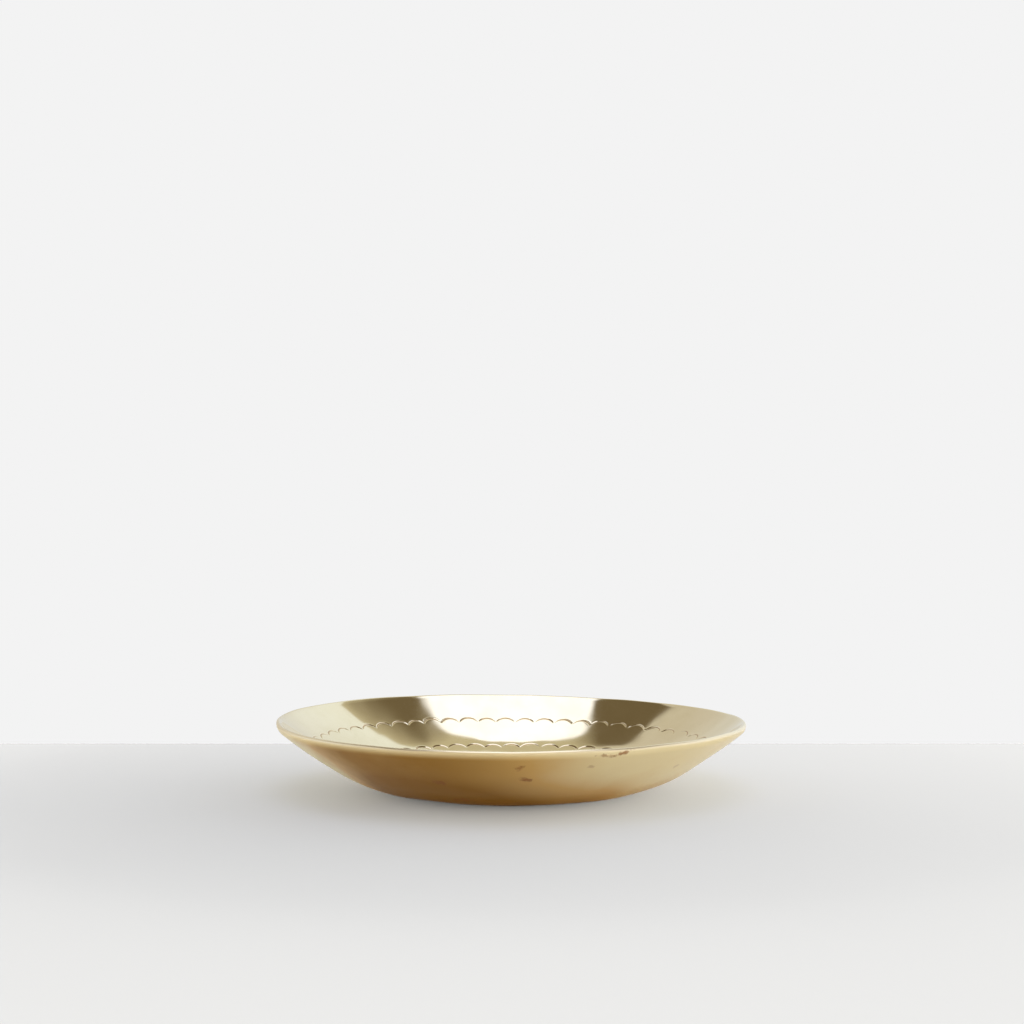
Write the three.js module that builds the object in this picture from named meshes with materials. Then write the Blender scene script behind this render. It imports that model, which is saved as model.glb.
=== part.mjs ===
// A shallow round tray raised by hand from one sheet of brass, 250 mm across:
// a flat bottom, a curved wall that opens out to the rim, and a thickened, softly rounded lip.
// Millimetres, +Z up. The origin is the middle of the underside, on the surface it stands on.
import * as THREE from 'three';

const { degToRad } = THREE.MathUtils;

const TRAY_RADIUS = 125;
const BASE_RADIUS = 52.5; // flat underside that the tray rests on
const KNEE_RADIUS = 96.2; // where the tight lower bend runs into the long upper bend
const SHEET_THICKNESS = 2.4;
const KNEE_SLOPE = degToRad(33); // slope of the wall at the knee
const RIM_SLOPE = degToRad(38.4); // outside slope of the wall below the lip
const RIM_SLOPE_INSIDE = degToRad(42.3); // steeper, so the wall thickens towards the lip

const SHOULDER_RADIUS = 3.5; // the soft outer rounding of the lip
const CREST_RADIUS = 1.25; // the tighter rounding over its top
const SHOULDER_END = degToRad(95); // slope where the shoulder runs into the crest
const CREST_END = Math.PI + RIM_SLOPE_INSIDE; // the crest ends running back down the inside

const LOWER_STEPS = 7;
const UPPER_STEPS = 4;
const SHOULDER_STEPS = 4;
const CREST_STEPS = 5;
const SEGMENTS_ROUND = 80;

// Points along a bend, which starts at a point with one slope and turns upwards to another.
function bend(start, radius, fromSlope, toSlope, steps) {
  const centreX = start.x - radius * Math.sin(fromSlope);
  const centreY = start.y + radius * Math.cos(fromSlope);
  const points = [];
  for (let i = 0; i <= steps; i += 1) {
    const slope = fromSlope + ((toSlope - fromSlope) * i) / steps;
    points.push(new THREE.Vector2(centreX + radius * Math.sin(slope), centreY - radius * Math.cos(slope)));
  }
  return points;
}

// One face of the wall, from the edge of the flat bottom up to topRadius, where it has topSlope.
function wallFace(height, lowerRadius, topRadius, topSlope) {
  const start = new THREE.Vector2(BASE_RADIUS, height);
  const lower = bend(start, lowerRadius, 0, KNEE_SLOPE, LOWER_STEPS);
  const knee = lower.at(-1);
  const upperRadius = (topRadius - knee.x) / (Math.sin(topSlope) - Math.sin(KNEE_SLOPE));
  const upper = bend(knee, upperRadius, KNEE_SLOPE, topSlope, UPPER_STEPS);
  return [...lower, ...upper.slice(1)];
}

// The lip, from the top of the outside over to the top of the inside.
function lip(outsideTop) {
  const shoulder = bend(outsideTop, SHOULDER_RADIUS, RIM_SLOPE, SHOULDER_END, SHOULDER_STEPS);
  const crest = bend(shoulder.at(-1), CREST_RADIUS, SHOULDER_END, CREST_END, CREST_STEPS);
  return [...shoulder, ...crest.slice(1)];
}

// Half of the tray's section, from the axis along the outside, over the lip and back to the axis.
function traySection() {
  const lowerRadius = (KNEE_RADIUS - BASE_RADIUS) / Math.sin(KNEE_SLOPE);
  const outsideTopRadius = TRAY_RADIUS - SHOULDER_RADIUS * (1 - Math.sin(RIM_SLOPE));
  const outside = wallFace(0, lowerRadius, outsideTopRadius, RIM_SLOPE);
  const rounding = lip(outside.at(-1));
  const insideTopRadius = rounding.at(-1).x;
  const inside = wallFace(SHEET_THICKNESS, lowerRadius - SHEET_THICKNESS, insideTopRadius, RIM_SLOPE_INSIDE);
  return [
    new THREE.Vector2(0, 0),
    ...outside,
    ...rounding.slice(1),
    ...inside.slice(0, -1).reverse(),
    new THREE.Vector2(0, SHEET_THICKNESS),
  ];
}

function trayBody() {
  const geometry = new THREE.LatheGeometry(traySection(), SEGMENTS_ROUND);
  geometry.rotateX(Math.PI / 2);
  const brass = new THREE.MeshStandardMaterial({ color: 0xc9a863, metalness: 1, roughness: 0.25 });
  const mesh = new THREE.Mesh(geometry, brass);
  mesh.name = 'tray_body';
  return mesh;
}

const tray = new THREE.Group();
tray.add(trayBody());

export default tray;
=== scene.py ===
"""A shallow round tray raised by hand from one sheet of brass, standing on a pale table.

Two borders of scallops are punched into the inside of the wall, which is burnished. The outside is
satin and lightly aged, with a few brown stains. Metres, +Z up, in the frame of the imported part.
"""

import math

import bpy
import numpy as np
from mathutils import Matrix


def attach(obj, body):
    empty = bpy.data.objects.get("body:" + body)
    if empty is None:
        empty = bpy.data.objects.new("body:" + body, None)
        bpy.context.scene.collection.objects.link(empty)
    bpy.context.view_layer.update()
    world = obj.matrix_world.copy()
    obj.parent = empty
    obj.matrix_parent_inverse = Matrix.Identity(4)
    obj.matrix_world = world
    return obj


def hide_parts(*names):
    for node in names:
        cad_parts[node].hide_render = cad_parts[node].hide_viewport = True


MM = 0.001

# The tray's section, as the CAD part has it.
TRAY_RADIUS = 125 * MM
BASE_RADIUS = 52.5 * MM
KNEE_RADIUS = 96.2 * MM
SHEET_THICKNESS = 2.4 * MM
KNEE_SLOPE = math.radians(33)
RIM_SLOPE = math.radians(38.4)
RIM_SLOPE_INSIDE = math.radians(42.3)
SHOULDER_RADIUS = 3.5 * MM
CREST_RADIUS = 1.25 * MM
SHOULDER_END = math.radians(95)
CREST_END = math.pi + RIM_SLOPE_INSIDE

# How far apart the mesh's rings are, and how many points each has. Within each of the radii below, the
# rings have half as many points as those further out.
RING_SPACING = 2.1 * MM
FLOOR_RING_SPACING = 3.2 * MM
SHOULDER_RINGS = 8
CREST_RINGS = 8
POINTS_ROUND = 384
HALVING_RADII = (36 * MM, 18 * MM, 9 * MM)

# The steps along each arc of the section, and how far to each side of a place its slope is measured.
FINE_STEPS = 400
SLOPE_REACH = 0.4 * MM

# The punched borders: each scallop is an arc struck by a half-round chisel, hollow side inwards.
OUTER_BORDER = {"radius": 106.0 * MM, "count": 56, "start": math.radians(0.4), "seed": 402}
INNER_BORDER = {"radius": 87.0 * MM, "count": 46, "start": math.radians(2.1), "seed": 103}
CHISEL_WIDTH = 11.0 * MM
ARC_HALF_ANGLE = math.radians(62)
LEAST_GAP = 0.5 * MM

# How the hand strays. The spacing drifts once and twice round the ring, and has errors of its own. Tilts
# are in degrees. The punch leans, so one end of an arc is deeper, and which end changes round the ring.
SPACING_DRIFT = (0.10, 0.08)
SPACING_ERROR = 0.05
LINE_ERROR = 0.2 * MM
TILT_ERROR = 3
GREATEST_TILT = 4.5
DEPTH_ERROR = 0.2
DEPTH_RANGE = (0.5, 1.5)
PUNCH_LEAN = 0.55
LEAN_ERROR = 0.25
GREATEST_LEAN = 0.8

# The groove of an arc, which is shallower at its ends, and the burr raised beside it. BURR_PLACE is in
# half widths of the groove.
GROOVE_HALF_WIDTH = 0.65 * MM
GROOVE_DEPTH = 0.26 * MM
GROOVE_SHARPNESS = 1.2
END_FADE = 0.85
BURR_HEIGHT = 0.04 * MM
BURR_WIDTH = 0.3 * MM
BURR_PLACE = 1.15

# The mesh's rows of points across a groove, which spread where the arc is steep, and how far the
# border's own rings reach.
POINTS_PER_ARC = 22
GROOVE_ROWS = np.array([-1.7, -1.15, -0.8, -0.55, -0.35, -0.18, 0.0, 0.18, 0.35, 0.55, 0.8, 1.15, 1.7]) * MM
GREATEST_STRETCH = 2
BAND_BELOW = 5.2 * MM
BAND_ABOVE = 6.4 * MM

# How the metal strays from a true figure of revolution. The rim's warp is a cosine and a sine in
# millimetres, once and then twice round. Each hammering wave is a length and a height.
RIM_WARP = ((-0.71, 0.55), (0.34, -0.67))
HAMMER_WAVES = ((62 * MM, 0.14 * MM), (30 * MM, 0.065 * MM), (13 * MM, 0.010 * MM))
HAMMER_SPREAD = (0.75, 1.35)
HAMMER_SEED = 5
HAMMER_FADE = 0.3
WAVES_EACH = 14

# Camera, table and background. The table is a hair below the tray, so that their faces don't coincide.
CAMERA_PLACE = (0.0005, -0.9552, 0.1479)
CAMERA_LENS = 62.6
TABLE_BACK = 0.1819
TABLE_REACH = 2.0
TABLE_TOP = -0.02 * MM
TABLE_PAINT = (0.236, 0.233, 0.217)
TABLE_ROUGHNESS = 0.7
BACKGROUND = (0.896, 0.896, 0.896)


# ---------------------------------------------------------------- section

def bend(start, radius, from_slope, to_slope, steps):
    """Points along a bend, which starts at a point with one slope and turns upwards to another."""
    centre_x = start[0] - radius * math.sin(from_slope)
    centre_y = start[1] + radius * math.cos(from_slope)
    slopes = np.linspace(from_slope, to_slope, steps + 1)
    return np.column_stack([centre_x + radius * np.sin(slopes), centre_y - radius * np.cos(slopes)])


def wall_face(height, lower_radius, top_radius, top_slope):
    """One face of the wall, from the edge of the flat bottom up to top_radius, where it has top_slope."""
    lower = bend((BASE_RADIUS, height), lower_radius, 0, KNEE_SLOPE, FINE_STEPS)
    knee = lower[-1]
    upper_radius = (top_radius - knee[0]) / (math.sin(top_slope) - math.sin(KNEE_SLOPE))
    upper = bend(knee, upper_radius, KNEE_SLOPE, top_slope, FINE_STEPS)
    return np.vstack([lower, upper[1:]])


def lip(outside_top):
    """The lip, from the top of the outside over to the top of the inside."""
    shoulder = bend(outside_top, SHOULDER_RADIUS, RIM_SLOPE, SHOULDER_END, SHOULDER_RINGS)
    crest = bend(shoulder[-1], CREST_RADIUS, SHOULDER_END, CREST_END, CREST_RINGS)
    return np.vstack([shoulder, crest[1:]])


class Face:
    """One face of the sheet: places on it are given by their distance up the section."""

    def __init__(self, points):
        self.points = points
        steps = np.hypot(*np.diff(points, axis=0).T)
        self.along = np.concatenate([[0], np.cumsum(steps)])
        self.length = self.along[-1]

    def at(self, along):
        radius = np.interp(along, self.along, self.points[:, 0])
        height = np.interp(along, self.along, self.points[:, 1])
        return radius, height

    def slope(self, along):
        low = self.at(np.asarray(along) - SLOPE_REACH)
        high = self.at(np.asarray(along) + SLOPE_REACH)
        return np.arctan2(high[1] - low[1], high[0] - low[0])

    def along_at_radius(self, radius):
        return np.interp(radius, self.points[:, 0], self.along)


LOWER_RADIUS = (KNEE_RADIUS - BASE_RADIUS) / math.sin(KNEE_SLOPE)
OUTSIDE_TOP_RADIUS = TRAY_RADIUS - SHOULDER_RADIUS * (1 - math.sin(RIM_SLOPE))
OUTSIDE = Face(wall_face(0, LOWER_RADIUS, OUTSIDE_TOP_RADIUS, RIM_SLOPE))
LIP = lip(OUTSIDE.points[-1])
INSIDE = Face(wall_face(SHEET_THICKNESS, LOWER_RADIUS - SHEET_THICKNESS, LIP[-1][0], RIM_SLOPE_INSIDE))


# ---------------------------------------------------------------- hand work

def smooth_step(value, low, high):
    t = np.clip((value - low) / (high - low), 0, 1)
    return t * t * (3 - 2 * t)


def up_the_wall(radius):
    """0 on the flat bottom, which stays true, and 1 at the rim."""
    return np.clip((radius - BASE_RADIUS) / (TRAY_RADIUS - BASE_RADIUS), 0, 1)


def hammering(x, y):
    """How far hammering has moved the sheet, along its upward normal."""
    random = np.random.default_rng(HAMMER_SEED)
    moved = np.zeros_like(x)
    for wavelength, height in HAMMER_WAVES:
        for _ in range(WAVES_EACH):
            heading = random.uniform(0, 2 * math.pi)
            phase = random.uniform(0, 2 * math.pi)
            turns = 2 * math.pi / (wavelength * random.uniform(*HAMMER_SPREAD))
            wave = np.cos(turns * (x * math.cos(heading) + y * math.sin(heading)) + phase)
            moved += wave * height / math.sqrt(WAVES_EACH / 2)
    return moved * smooth_step(up_the_wall(np.hypot(x, y)), 0, HAMMER_FADE)


def warp(radius, angle):
    """How far the wall stands above a true figure of revolution, most at the rim."""
    lift = np.zeros_like(angle)
    for turn, (cosine, sine) in enumerate(RIM_WARP, start=1):
        lift += cosine * np.cos(turn * angle) + sine * np.sin(turn * angle)
    return lift * MM * up_the_wall(radius) ** 2


class Border:
    """A ring of punched scallops. u runs round the ring and v up the wall, from the border's radius."""

    def __init__(self, radius, count, start, seed):
        random = np.random.default_rng(seed)
        self.line = INSIDE.along_at_radius(radius)
        self.radius = radius
        self.around = 2 * math.pi * radius
        turns = even_angles(count)
        room = 1 + random.normal(0, SPACING_ERROR, count)
        for times, drift in enumerate(SPACING_DRIFT, start=1):
            room += drift * np.cos(times * turns)
        room *= self.around / room.sum()
        self.edges = start * radius + np.concatenate([[0], np.cumsum(room)])
        self.u = 0.5 * (self.edges[:-1] + self.edges[1:])
        self.v = random.normal(0, LINE_ERROR, count)
        self.tilt = np.radians(np.clip(random.normal(0, TILT_ERROR, count), -GREATEST_TILT, GREATEST_TILT))
        chord = np.minimum(CHISEL_WIDTH, room - LEAST_GAP)
        self.arc_radius = chord / (2 * math.sin(ARC_HALF_ANGLE))
        self.depth = GROOVE_DEPTH * np.clip(random.normal(1, DEPTH_ERROR, count), *DEPTH_RANGE)
        lean = random.normal(0, LEAN_ERROR, count) - PUNCH_LEAN * np.cos(turns)
        self.lean = np.clip(lean, -GREATEST_LEAN, GREATEST_LEAN)

    def columns(self):
        """u and v of the points along the scallops, and how steeply the line runs at each."""
        turn = np.linspace(-ARC_HALF_ANGLE, ARC_HALF_ANGLE, POINTS_PER_ARC)[None, :] + self.tilt[:, None]
        arc_radius = self.arc_radius[:, None]
        u = (self.u[:, None] + arc_radius * np.sin(turn)).ravel() % self.around
        v = (self.v[:, None] + arc_radius * (np.cos(turn) - math.cos(ARC_HALF_ANGLE))).ravel()
        stretch = np.minimum(1 / np.cos(turn), GREATEST_STRETCH).ravel()
        first = -np.argmin(u)
        return np.roll(u, first), np.roll(v, first), np.roll(stretch, first)

    def cut(self, u, v):
        """How far the punch has moved the surface along its normal, and how much painted shade the groove
        gets.
        """
        moved = np.zeros_like(u)
        groove_shade = np.zeros_like(u)
        count = len(self.u)
        near = np.searchsorted(self.edges, np.where(u < self.edges[0], u + self.around, u)) - 1
        for neighbour in (-1, 0, 1):
            i = (near + neighbour) % count
            arc_radius = self.arc_radius[i]
            across = (u - self.u[i] + self.around / 2) % self.around - self.around / 2
            up = v - self.v[i] + arc_radius * math.cos(ARC_HALF_ANGLE)
            turn = np.arctan2(across, up) - self.tilt[i]
            along = np.clip(turn / ARC_HALF_ANGLE, -1, 1)
            end = along * ARC_HALF_ANGLE + self.tilt[i]
            distance = np.hypot(across - arc_radius * np.sin(end), up - arc_radius * np.cos(end))
            strength = (1 - END_FADE * along**4) * (1 + self.lean[i] * along)
            width = GROOVE_HALF_WIDTH * np.sqrt(strength)
            groove = np.clip(1 - distance / width, 0, 1) ** GROOVE_SHARPNESS
            burr = np.exp(-(((distance - BURR_PLACE * width) / BURR_WIDTH) ** 2)) * strength
            change = burr * BURR_HEIGHT - groove * strength * self.depth[i]
            moved = np.where(np.abs(change) > np.abs(moved), change, moved)
            groove_shade = np.maximum(groove_shade, groove * np.minimum(strength, 1))
        return moved, groove_shade


# ---------------------------------------------------------------- mesh

def ring(angles, radius, height, slope, outside, moved=0.0, groove_shade=0.0):
    """One ring of points, moved along the sheet's normal and then warped."""
    x = radius * np.cos(angles)
    y = radius * np.sin(angles)
    offset = hammering(x, y) + moved
    reach = radius - np.sin(slope) * offset
    lifted = height + np.cos(slope) * offset + warp(radius, angles)
    places = np.column_stack([reach * np.cos(angles), reach * np.sin(angles), lifted])
    return {
        "angles": angles,
        "places": places,
        "outside": np.full(len(angles), float(outside)),
        "groove_shade": np.zeros(len(angles)) + groove_shade,
    }


def even_angles(count):
    return np.arange(count) * 2 * math.pi / count


def points_for(radius):
    """Fewer points round the rings near the axis."""
    halvings = sum(radius < limit for limit in HALVING_RADII)
    return POINTS_ROUND // 2**halvings


def plain_ring(face, along, outside):
    radius, height = face.at(along)
    angles = even_angles(POINTS_ROUND)
    return ring(angles, np.full(POINTS_ROUND, radius), height, face.slope(along), outside)


def floor_rings(height, outside):
    """The flat bottom, from near the axis out to its edge."""
    rings = []
    count = int(BASE_RADIUS / FLOOR_RING_SPACING)
    for i in range(1, count + 1):
        radius = BASE_RADIUS * i / (count + 1)
        angles = even_angles(points_for(radius))
        rings.append(ring(angles, np.full(len(angles), radius), height, 0.0, outside))
    return rings


def wall_rings(face, start, end, outside):
    count = max(1, round(abs(end - start) / RING_SPACING))
    return [plain_ring(face, start + (end - start) * i / count, outside) for i in range(count + 1)]


def lip_rings():
    """The rounding of the lip, between the rings that end the outside and start the inside.

    Over the crest the outside's finish fades into the inside's.
    """
    angles = even_angles(POINTS_ROUND)
    rings = []
    for i, (radius, height) in enumerate(LIP[1:-1]):
        outside = min(1, (len(LIP) - 2 - i) / CREST_RINGS)
        rings.append(ring(angles, np.full(POINTS_ROUND, radius), height, RIM_SLOPE, outside))
    return rings


def border_rings(border):
    """The rings of a punched border, from above it down the wall to below it."""
    u, v, stretch = border.columns()
    angles = u / border.radius
    rows = [np.full_like(v, BAND_ABOVE), 0.5 * (BAND_ABOVE + v + GROOVE_ROWS[-1] * stretch)]
    rows += [v + row * stretch for row in GROOVE_ROWS[::-1]]
    rows += [0.5 * (v + GROOVE_ROWS[0] * stretch - BAND_BELOW), np.full_like(v, -BAND_BELOW)]
    rings = []
    for row in rows:
        moved, groove_shade = border.cut(u, row)
        radius, height = INSIDE.at(border.line + row)
        rings.append(ring(angles, radius, height, INSIDE.slope(border.line + row), 0, moved, groove_shade))
    return rings


def all_rings():
    """Every ring of the tray's skin, from the middle of the underside round to the middle of the well."""
    outer = Border(**OUTER_BORDER)
    inner = Border(**INNER_BORDER)
    rings = floor_rings(0, 1)
    rings += wall_rings(OUTSIDE, 0, OUTSIDE.length, 1)
    rings += lip_rings()
    margin = 0.5 * RING_SPACING
    rings += wall_rings(INSIDE, INSIDE.length, outer.line + BAND_ABOVE + margin, 0)
    rings += border_rings(outer)
    rings += wall_rings(INSIDE, outer.line - BAND_BELOW - margin, inner.line + BAND_ABOVE + margin, 0)
    rings += border_rings(inner)
    rings += wall_rings(INSIDE, inner.line - BAND_BELOW - margin, 0, 0)
    rings += floor_rings(SHEET_THICKNESS, 0)[::-1]
    return rings


def join_rings(first, second, first_start, second_start):
    """Faces between two neighbouring rings. Rings with different points are joined by triangles."""
    a, b = first["angles"], second["angles"]
    if len(a) == len(b) and np.allclose(a, b):
        here = np.arange(len(a))
        there = (here + 1) % len(a)
        quads = [first_start + here, first_start + there, second_start + there, second_start + here]
        return np.column_stack(quads).tolist()
    faces = []
    i = j = 0
    while i < len(a) or j < len(b):
        next_a = a[i + 1] if i + 1 < len(a) else a[0] + 2 * math.pi
        next_b = b[j + 1] if j + 1 < len(b) else b[0] + 2 * math.pi
        on_a = first_start + i % len(a)
        on_b = second_start + j % len(b)
        if j >= len(b) or (i < len(a) and next_a <= next_b):
            faces.append([on_a, first_start + (i + 1) % len(a), on_b])
            i += 1
        else:
            faces.append([on_a, second_start + (j + 1) % len(b), on_b])
            j += 1
    return faces


def tray_mesh():
    rings = all_rings()
    sizes = [len(r["angles"]) for r in rings]
    starts = 1 + np.concatenate([[0], np.cumsum(sizes)])
    bottom = rings[0]["places"].mean(axis=0)
    well = rings[-1]["places"].mean(axis=0)
    points = np.vstack([bottom] + [r["places"] for r in rings] + [well])
    outside = np.concatenate([[1.0]] + [r["outside"] for r in rings] + [[0.0]])
    groove_shade = np.concatenate([[0.0]] + [r["groove_shade"] for r in rings] + [[0.0]])
    faces = []
    for i in range(sizes[0]):
        faces.append([0, 1 + (i + 1) % sizes[0], 1 + i])
    for k in range(len(rings) - 1):
        faces += join_rings(rings[k], rings[k + 1], int(starts[k]), int(starts[k + 1]))
    last = int(starts[-2])
    for i in range(sizes[-1]):
        faces.append([last + i, last + (i + 1) % sizes[-1], len(points) - 1])
    mesh = bpy.data.meshes.new("raised_tray")
    mesh.from_pydata(points.tolist(), [], faces)
    mesh.polygons.foreach_set("use_smooth", [True] * len(mesh.polygons))
    # The outside's share, and where the grooves get painted shade.
    for name, values in (("outside", outside), ("groove_shade", groove_shade)):
        layer = mesh.attributes.new(name, "FLOAT", "POINT")
        layer.data.foreach_set("value", values.astype(np.float32))
    mesh.validate()
    mesh.update()
    return mesh


# ---------------------------------------------------------------- shader helpers

def add_node(tree, kind, sockets=None, **settings):
    made = tree.nodes.new(kind)
    for name, value in settings.items():
        setattr(made, name, value)
    for key, value in (sockets or {}).items():
        if isinstance(value, bpy.types.NodeSocket):
            tree.links.new(value, made.inputs[key])
        else:
            made.inputs[key].default_value = value
    return made


def calc(tree, operation, *values):
    return add_node(tree, "ShaderNodeMath", dict(enumerate(values)), operation=operation).outputs[0]


def ramp(tree, value, low, high, to_low=0.0, to_high=1.0):
    sockets = {"Value": value, "From Min": low, "From Max": high, "To Min": to_low, "To Max": to_high}
    return add_node(tree, "ShaderNodeMapRange", sockets, interpolation_type="SMOOTHSTEP").outputs[0]


# The sockets of a mix node that hold colours: the two that are mixed, and the result.
FIRST_COLOUR = 6
SECOND_COLOUR = 7
MIXED_COLOUR = 2


def mix_colour(tree, share, first, second):
    made = add_node(tree, "ShaderNodeMix", {"Factor": share}, data_type="RGBA")
    for key, value in ((FIRST_COLOUR, first), (SECOND_COLOUR, second)):
        if isinstance(value, bpy.types.NodeSocket):
            tree.links.new(value, made.inputs[key])
        else:
            made.inputs[key].default_value = (*value, 1)
    return made.outputs[MIXED_COLOUR]


def noise(tree, place, scale, detail, roughness):
    sockets = {"Vector": place, "Scale": scale, "Detail": detail, "Roughness": roughness}
    return add_node(tree, "ShaderNodeTexNoise", sockets).outputs["Fac"]


def centred(tree, share, size):
    """A share from 0 to 1, spread to this size about 0."""
    return calc(tree, "MULTIPLY_ADD", share, size, -0.5 * size)


# ---------------------------------------------------------------- brass

# The inside, burnished, with duller clouds. The noises are a scale, a detail and a roughness.
POLISHED = (0.88, 0.74, 0.43)
DULLED = (0.83, 0.69, 0.38)
CLOUD_NOISE = (38.0, 4.0, 0.6)
DULL_CLOUDS = (0.35, 0.7)
# Painted shade in the grooves: a darker brown for the light lost inside them, and where it comes in.
GROOVE_SHADE = (0.50, 0.32, 0.14)
GROOVE_SHADE_RANGE = (0.15, 0.9)

# The outside, from its freshest to its brownest; the brown is partly patina and partly painted shade.
# How aged it is varies by the clouds.
AGED = (0.98, 0.81, 0.46)
TARNISHED_AND_SHADED = (0.76, 0.47, 0.15)
BROWNED_AND_SHADED = (0.37, 0.16, 0.00)
TARNISHED_AND_SHADED_AT = 0.35
CLOUD_AGE = 0.3
FRESHNESS = 0.16

# Where the outside has gone brown, as turns about the axis: it comes in between the first two of these
# and dies away between the next two, or between the third two at the foot. Underneath it dies away. The
# brown is partly patina and partly painted shade, for the shadowed table that the wall reflects.
BROWN_FROM = (math.radians(-155), math.radians(-129))
BROWN_TO = (math.radians(-113), math.radians(-63))
BROWN_FOOT_TO = (math.radians(-62), math.radians(-44))
BROWN_RADII = (30 * MM, 52 * MM)
BROWN_EDGE_SHIFT = 0.3
SIDE_AGE_AND_SHADE = 0.88
FOOT_AGE_AND_SHADE = 0.55
FOOT_AGE_AND_SHADE_ELSEWHERE = 0.13
FOOT_HEIGHT = 24 * MM

# Painted contact shade where the wall meets the table, which darkens the underside too. At the lip the
# brown fades back to clean brass, and handling has scratched the lip.
CONTACT_SHADE = (0.10, 0.04, 0.0)
CONTACT_SHADE_HEIGHT = 3.5 * MM
CONTACT_SHADE_STRENGTH = 0.75
LIP_FADE_HEIGHTS = (31 * MM, 36.5 * MM)
SCRATCHED_HEIGHTS = (34.5 * MM, 36.5 * MM)
SCRATCHED_ROUGHNESS = 0.15

# What the metal reflects at a glancing angle: all of the light where it is clean, and less where brown,
# which is partly patina and partly painted shade, and near the foot, where it is painted shade.
CLEAN_GLINT = (1.0, 1.0, 1.0)
BROWN_GLINT = (0.70, 0.42, 0.15)
AGE_AND_SHADE_GLINT = 0.15
FOOT_SHADE_GLINT_HEIGHT = 16 * MM

ROUGHNESS_INSIDE = 0.085
ROUGHNESS_OUTSIDE = 0.295
CLOUD_ROUGHNESS = 0.08

# Stains on the outside: turn about the axis and tilt in degrees, height, half the width and height, and
# how strong each is.
STAINS = (
    (272.0, 10, 27.8 * MM, 2.6 * MM, 1.7 * MM, 0.6),
    (273.6, -12, 20.6 * MM, 3.4 * MM, 1.4 * MM, 0.75),
    (288.8, 0, 27.2 * MM, 1.8 * MM, 1.1 * MM, 0.3),
    (291.0, -6, 33.0 * MM, 5.0 * MM, 0.9 * MM, 0.55),
    (295.2, 14, 33.9 * MM, 4.6 * MM, 1.2 * MM, 0.75),
    (254.3, 0, 7.0 * MM, 6.0 * MM, 1.6 * MM, 0.7),
    (251.0, 8, 17.7 * MM, 4.0 * MM, 1.8 * MM, 0.6),
    (318.0, 0, 22.0 * MM, 2.0 * MM, 1.2 * MM, 0.25),
)
STAINED = (0.32, 0.085, 0.01)
STAIN_DEPTH = 5 * MM
STAIN_EDGE = (0.2, 1.2)
SPECK_NOISE = (420.0, 4.0, 0.65)
STAIN_RAGGEDNESS = 3.6


def wall_point(degrees, height):
    """The place on the outside of the wall with this turn about the axis and this height."""
    radius = np.interp(height, OUTSIDE.points[:, 1], OUTSIDE.points[:, 0])
    if height > OUTSIDE.points[-1, 1]:
        radius = TRAY_RADIUS
    turn = math.radians(degrees)
    return radius * math.cos(turn), radius * math.sin(turn), height


def stain_share(tree, place):
    """How stained the metal is: 0 outside the stains, whose edges are ragged."""
    ragged = centred(tree, noise(tree, place, *SPECK_NOISE), STAIN_RAGGEDNESS)
    share = None
    for degrees, tilt, height, half_width, half_height, strength in STAINS:
        sockets = {
            "Vector": place,
            "Location": wall_point(degrees, height),
            "Rotation": (math.radians(tilt), 0, math.radians(degrees)),
            "Scale": (STAIN_DEPTH, half_width, half_height),
        }
        local = add_node(tree, "ShaderNodeMapping", sockets, vector_type="TEXTURE").outputs[0]
        distance = add_node(tree, "ShaderNodeVectorMath", {0: local}, operation="LENGTH").outputs["Value"]
        spot = ramp(tree, calc(tree, "ADD", distance, ragged), *STAIN_EDGE, strength, 0)
        share = spot if share is None else calc(tree, "MAXIMUM", share, spot)
    return share


def brown_age_and_shade(tree, place, clouds):
    """Patina and painted shade on the outside: browner on one side of the tray, most at its foot, but not
    underneath.
    """
    x, y, z = add_node(tree, "ShaderNodeSeparateXYZ", {"Vector": place}).outputs
    shift = centred(tree, clouds, BROWN_EDGE_SHIFT)
    turn = calc(tree, "ADD", calc(tree, "ARCTAN2", y, x), shift)
    start = ramp(tree, turn, *BROWN_FROM)
    side = calc(tree, "MULTIPLY", start, ramp(tree, turn, *BROWN_TO, SIDE_AGE_AND_SHADE, 0))
    foot_end = ramp(tree, turn, *BROWN_FOOT_TO, FOOT_AGE_AND_SHADE, 0)
    foot = calc(tree, "MULTIPLY_ADD", start, foot_end, FOOT_AGE_AND_SHADE_ELSEWHERE)
    foot = calc(tree, "MULTIPLY", foot, ramp(tree, z, 0, FOOT_HEIGHT, 1, 0))
    radius = calc(tree, "SQRT", calc(tree, "MULTIPLY_ADD", x, x, calc(tree, "MULTIPLY", y, y)))
    brown = calc(tree, "MULTIPLY", calc(tree, "ADD", side, foot), ramp(tree, radius, *BROWN_RADII))
    uneven = calc(tree, "MULTIPLY_ADD", clouds, CLOUD_AGE, -FRESHNESS)
    return calc(tree, "ADD", brown, uneven)


def outside_colour(tree, age_and_shade, height):
    """Brass of this age, partly patina and partly painted shade, with painted contact shade at the foot,
    clean at the lip.
    """
    made = add_node(tree, "ShaderNodeValToRGB", {"Fac": age_and_shade})
    stops = made.color_ramp.elements
    stops[0].color = (*AGED, 1)
    stops[1].color = (*BROWNED_AND_SHADED, 1)
    stops.new(TARNISHED_AND_SHADED_AT).color = (*TARNISHED_AND_SHADED, 1)
    # Painted contact shade at the foot, which reaches the underside.
    contact_shade = ramp(tree, height, 0, CONTACT_SHADE_HEIGHT, CONTACT_SHADE_STRENGTH, 0)
    colour = mix_colour(tree, contact_shade, made.outputs["Color"], CONTACT_SHADE)
    # The brown, partly painted shade, fades back to clean brass towards the lip.
    return mix_colour(tree, ramp(tree, height, *LIP_FADE_HEIGHTS), colour, AGED)


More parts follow.
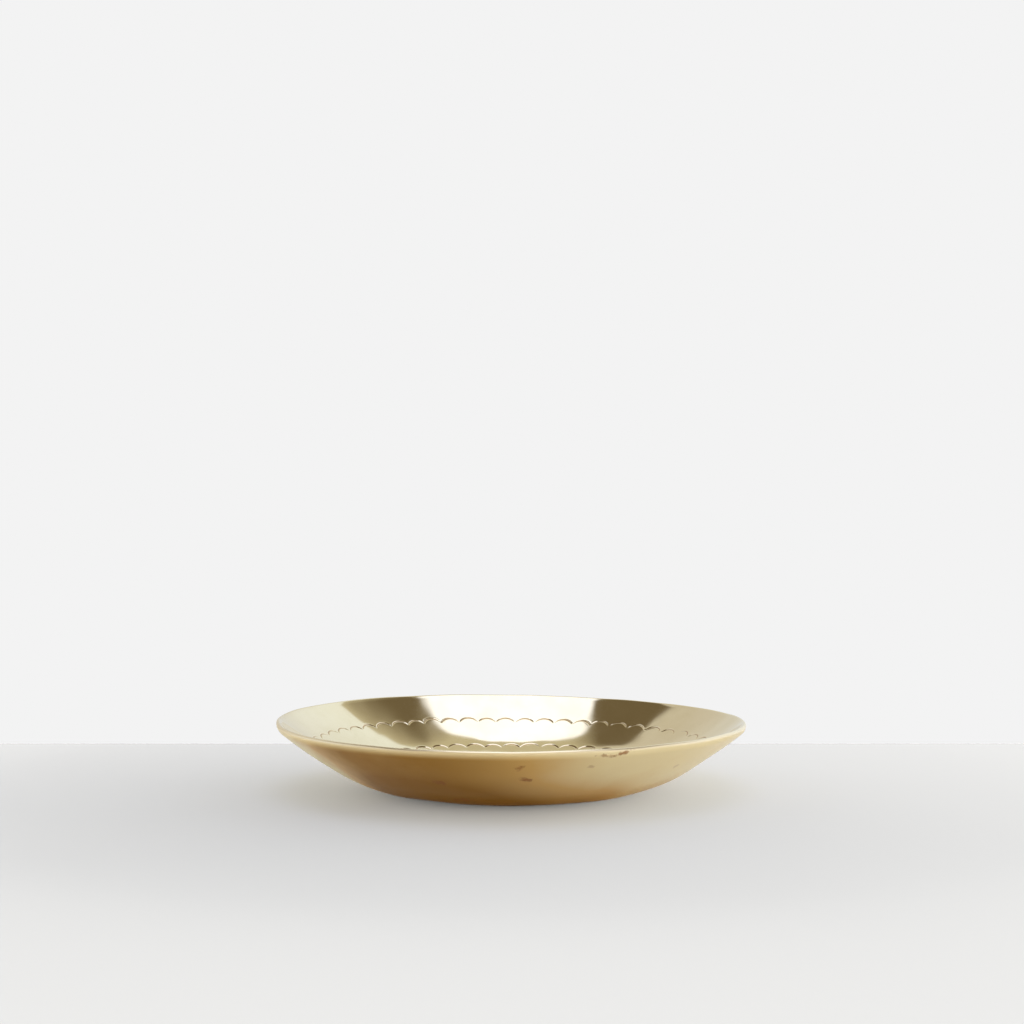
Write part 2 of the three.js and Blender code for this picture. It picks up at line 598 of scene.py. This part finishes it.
def brass_colour(tree, place, outside, clouds, age_and_shade, height):
    colour = mix_colour(tree, ramp(tree, clouds, *DULL_CLOUDS), POLISHED, DULLED)
    colour = mix_colour(tree, outside, colour, outside_colour(tree, age_and_shade, height))
    colour = mix_colour(tree, calc(tree, "MULTIPLY", stain_share(tree, place), outside), colour, STAINED)
    # Painted shade in the grooves, by the mesh attribute that marks them.
    groove_shade = add_node(tree, "ShaderNodeAttribute", attribute_name="groove_shade").outputs["Fac"]
    return mix_colour(tree, ramp(tree, groove_shade, *GROOVE_SHADE_RANGE), colour, GROOVE_SHADE)


def brass_glint(tree, outside, age_and_shade, height):
    """The colour of the reflection at a glancing angle, browner where the outside is brown and, as painted
    shade, near the foot.
    """
    # Painted shade near the foot.
    foot = ramp(tree, height, 0, FOOT_SHADE_GLINT_HEIGHT, 1, 0)
    brown = calc(tree, "MAXIMUM", calc(tree, "MULTIPLY", age_and_shade, AGE_AND_SHADE_GLINT), foot)
    return mix_colour(tree, calc(tree, "MULTIPLY", outside, brown), CLEAN_GLINT, BROWN_GLINT)


def brass_roughness(tree, outside, clouds, height):
    """Burnished inside and satin outside, with a scratched lip."""
    satin = calc(tree, "MULTIPLY_ADD", outside, ROUGHNESS_OUTSIDE - ROUGHNESS_INSIDE, ROUGHNESS_INSIDE)
    scratched = ramp(tree, height, *SCRATCHED_HEIGHTS, 0, SCRATCHED_ROUGHNESS)
    satin = calc(tree, "ADD", satin, calc(tree, "MULTIPLY", outside, scratched))
    return calc(tree, "ADD", satin, centred(tree, clouds, CLOUD_ROUGHNESS))


def brass_material():
    material = bpy.data.materials.new("brass")
    material.use_nodes = True
    tree = material.node_tree
    shader = tree.nodes["Principled BSDF"]
    place = add_node(tree, "ShaderNodeTexCoord").outputs["Object"]
    height = add_node(tree, "ShaderNodeSeparateXYZ", {"Vector": place}).outputs["Z"]
    outside = add_node(tree, "ShaderNodeAttribute", attribute_name="outside").outputs["Fac"]
    clouds = noise(tree, place, *CLOUD_NOISE)
    # How brown the outside is, partly patina and partly painted shade.
    age_and_shade = brown_age_and_shade(tree, place, clouds)
    looks = {
        "Base Color": brass_colour(tree, place, outside, clouds, age_and_shade, height),
        "Specular Tint": brass_glint(tree, outside, age_and_shade, height),
        "Roughness": brass_roughness(tree, outside, clouds, height),
    }
    for socket, value in looks.items():
        tree.links.new(value, shader.inputs[socket])
    shader.inputs["Metallic"].default_value = 1.0
    return material


# ---------------------------------------------------------------- studio

# The walls of the room: degrees from straight behind the tray, clockwise from above, and the light there.
WALLS = (
    (-180, (0.79, 0.78, 0.80)),
    (-145, (0.67, 0.64, 0.62)),
    (-105, (0.76, 0.79, 0.95)),
    (-75, (0.85, 0.93, 1.22)),
    (-28, (0.65, 0.65, 0.70)),
    (0, (0.75, 0.78, 0.82)),
    (30, (0.93, 1.05, 1.33)),
    (75, (1.00, 1.08, 1.45)),
    (110, (0.90, 0.92, 1.12)),
    (150, (0.83, 0.82, 0.92)),
    (180, (0.79, 0.78, 0.80)),
)

# The ceiling, given by how far across (to the right) and back a direction goes for each unit that it
# rises, which counts as LEAST_RISE or more. Three numbers are two edges and how soft they are, two are
# where one edge begins and ends, and a slant is how far forward an edge comes for each unit across.
LEAST_RISE = 0.02
CEILING_DARK = (0.17, 0.14, 0.10)
CEILING_GREY = (0.61, 0.60, 0.56)
CEILING_ACROSS = (-1.0, 1.0, 0.06)
CEILING_BACK = (-0.5, 0.775, 0.025)
CEILING_SLANT = -0.03
GREY_STRIP_ACROSS = (-0.27, 0.33, 0.09)
GREY_CORNER_BACK = (0.35, 0.85)
GREY_CORNER_ACROSS = (0.15, 0.35)

# The broad soft light in the ceiling, which narrows towards the back.
SOFT_LIGHT = (1.42, 1.58, 2.35)
LIGHT_MIDDLE = 0.02
LIGHT_SIDES = (0.355, 0.415)
LIGHT_NARROWING = 0.22
LIGHT_FRONT = (-0.6, -0.5)
LIGHT_BACK = (0.365, 0.395)
LIGHT_BACK_SLANT = 0.17

# A ring of low lamps round the table, strongest behind the tray and to its right.
LAMP_COUNT = 12
LAMP_DISTANCE = 30.0
LAMP_TOP = math.radians(12)
LAMP_HEIGHT = LAMP_DISTANCE * math.tan(LAMP_TOP)
LAMP_WIDTH = 2 * math.pi * LAMP_DISTANCE / LAMP_COUNT
LAMP_LEVEL = 70.0
LAMP_TO_BACK = 28.0
LAMP_TO_RIGHT = 27.0


def window(tree, value, low, high, soft):
    """1 between low and high and 0 outside, with soft edges."""
    rise = ramp(tree, value, low - soft, low + soft)
    fall = ramp(tree, value, high - soft, high + soft, 1, 0)
    return calc(tree, "MULTIPLY", rise, fall)


def wall_light(tree, x, y):
    turn = calc(tree, "ARCTAN2", x, y)
    share = calc(tree, "MULTIPLY_ADD", turn, 1 / (2 * math.pi), 0.5)
    made = add_node(tree, "ShaderNodeValToRGB", {"Fac": share})
    made.color_ramp.interpolation = "EASE"
    stops = made.color_ramp.elements
    for degrees, colour in WALLS[1:-1]:
        stops.new(degrees / 360 + 0.5).color = (*colour, 1)
    stops[0].color = (*WALLS[0][1], 1)
    stops[-1].color = (*WALLS[-1][1], 1)
    return made.outputs["Color"]


def ceiling_light(tree, across, back):
    """The dark ceiling. It is greyer in a strip from front to back, and at the back on the right."""
    strip = window(tree, across, *GREY_STRIP_ACROSS)
    to_right = ramp(tree, across, *GREY_CORNER_ACROSS)
    right = calc(tree, "MULTIPLY", ramp(tree, back, *GREY_CORNER_BACK), to_right)
    return mix_colour(tree, calc(tree, "MAXIMUM", strip, right), CEILING_DARK, CEILING_GREY)


def ceiling_share(tree, across, back):
    """1 where the ceiling is and 0 where the walls are."""
    slanted = calc(tree, "MULTIPLY_ADD", across, CEILING_SLANT, back)
    sides = window(tree, across, *CEILING_ACROSS)
    return calc(tree, "MULTIPLY", sides, window(tree, slanted, *CEILING_BACK))


def soft_light_share(tree, across, back):
    """1 where the soft light is and 0 outside it."""
    side = calc(tree, "ABSOLUTE", calc(tree, "SUBTRACT", across, LIGHT_MIDDLE))
    side = calc(tree, "MULTIPLY_ADD", back, LIGHT_NARROWING, side)
    slanted = calc(tree, "MULTIPLY_ADD", across, LIGHT_BACK_SLANT, back)
    light = calc(tree, "MULTIPLY", ramp(tree, side, *LIGHT_SIDES, 1, 0), ramp(tree, back, *LIGHT_FRONT))
    return calc(tree, "MULTIPLY", light, ramp(tree, slanted, *LIGHT_BACK, 1, 0))


def studio_world():
    """A pale room with a dark ceiling, and a broad soft light let into it above the tray."""
    world = bpy.data.worlds.new("studio")
    bpy.context.scene.world = world
    world.use_nodes = True
    tree = world.node_tree
    tree.nodes.clear()
    way = add_node(tree, "ShaderNodeTexCoord").outputs["Generated"]
    x, y, z = add_node(tree, "ShaderNodeSeparateXYZ", {"Vector": way}).outputs
    rise = calc(tree, "MAXIMUM", z, LEAST_RISE)
    across = calc(tree, "DIVIDE", x, rise)
    back = calc(tree, "DIVIDE", y, rise)

    ceiling = ceiling_light(tree, across, back)
    colour = mix_colour(tree, ceiling_share(tree, across, back), wall_light(tree, x, y), ceiling)
    colour = mix_colour(tree, soft_light_share(tree, across, back), colour, SOFT_LIGHT)
    seen = add_node(tree, "ShaderNodeLightPath").outputs["Is Camera Ray"]
    colour = mix_colour(tree, seen, colour, BACKGROUND)
    glow = add_node(tree, "ShaderNodeBackground", {"Color": colour})
    output = add_node(tree, "ShaderNodeOutputWorld")
    tree.links.new(glow.outputs[0], output.inputs["Surface"])


def low_lamps():
    """Lamps standing round the table. They light it from low down and don't show in the brass."""
    for i in range(LAMP_COUNT):
        turn = 2 * math.pi * i / LAMP_COUNT
        level = LAMP_LEVEL + LAMP_TO_BACK * math.cos(turn) + LAMP_TO_RIGHT * math.sin(turn)
        light = bpy.data.lights.new("low_lamp", "AREA")
        light.shape = "RECTANGLE"
        light.size = LAMP_WIDTH
        light.size_y = LAMP_HEIGHT
        light.energy = level * math.pi * LAMP_WIDTH * LAMP_HEIGHT
        lamp = bpy.data.objects.new("low_lamp", light)
        lamp.location = (LAMP_DISTANCE * math.sin(turn), LAMP_DISTANCE * math.cos(turn), 0.5 * LAMP_HEIGHT)
        lamp.rotation_euler = (math.radians(90), 0, math.pi - turn)
        lamp.visible_camera = False
        lamp.visible_glossy = False
        bpy.context.collection.objects.link(lamp)


def table_top():
    """The pale table, which ends a little way behind the tray."""
    corners = [(-TABLE_REACH, -TABLE_REACH, TABLE_TOP), (TABLE_REACH, -TABLE_REACH, TABLE_TOP)]
    corners += [(TABLE_REACH, TABLE_BACK, TABLE_TOP), (-TABLE_REACH, TABLE_BACK, TABLE_TOP)]
    mesh = bpy.data.meshes.new("table")
    mesh.from_pydata(corners, [], [(0, 1, 2, 3)])
    table = bpy.data.objects.new("table", mesh)
    bpy.context.collection.objects.link(table)
    paint = bpy.data.materials.new("table_paint")
    paint.use_nodes = True
    shader = paint.node_tree.nodes["Principled BSDF"]
    shader.inputs["Base Color"].default_value = (*TABLE_PAINT, 1)
    shader.inputs["Roughness"].default_value = TABLE_ROUGHNESS
    shader.inputs["Specular IOR Level"].default_value = 0.0
    mesh.materials.append(paint)


def add_camera():
    lens = bpy.data.cameras.new("camera")
    lens.lens = CAMERA_LENS
    lens.sensor_width = 36
    camera = bpy.data.objects.new("camera", lens)
    camera.location = CAMERA_PLACE
    camera.rotation_euler = (math.radians(90), 0, 0)
    bpy.context.collection.objects.link(camera)
    bpy.context.scene.camera = camera


# ---------------------------------------------------------------- scene

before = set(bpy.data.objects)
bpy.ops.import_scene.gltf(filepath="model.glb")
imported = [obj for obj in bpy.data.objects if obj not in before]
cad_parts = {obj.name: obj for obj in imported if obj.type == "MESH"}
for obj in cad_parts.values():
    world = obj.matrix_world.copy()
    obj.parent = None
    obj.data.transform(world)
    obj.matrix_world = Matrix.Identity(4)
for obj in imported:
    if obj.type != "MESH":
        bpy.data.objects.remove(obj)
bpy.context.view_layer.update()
bpy.context.scene.view_settings.view_transform = "Standard"

add_camera()
studio_world()
low_lamps()
table_top()

tray = bpy.data.objects.new("raised_tray", tray_mesh())
bpy.context.collection.objects.link(tray)
tray.data.materials.append(brass_material())
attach(tray, "root")
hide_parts("tray_body")
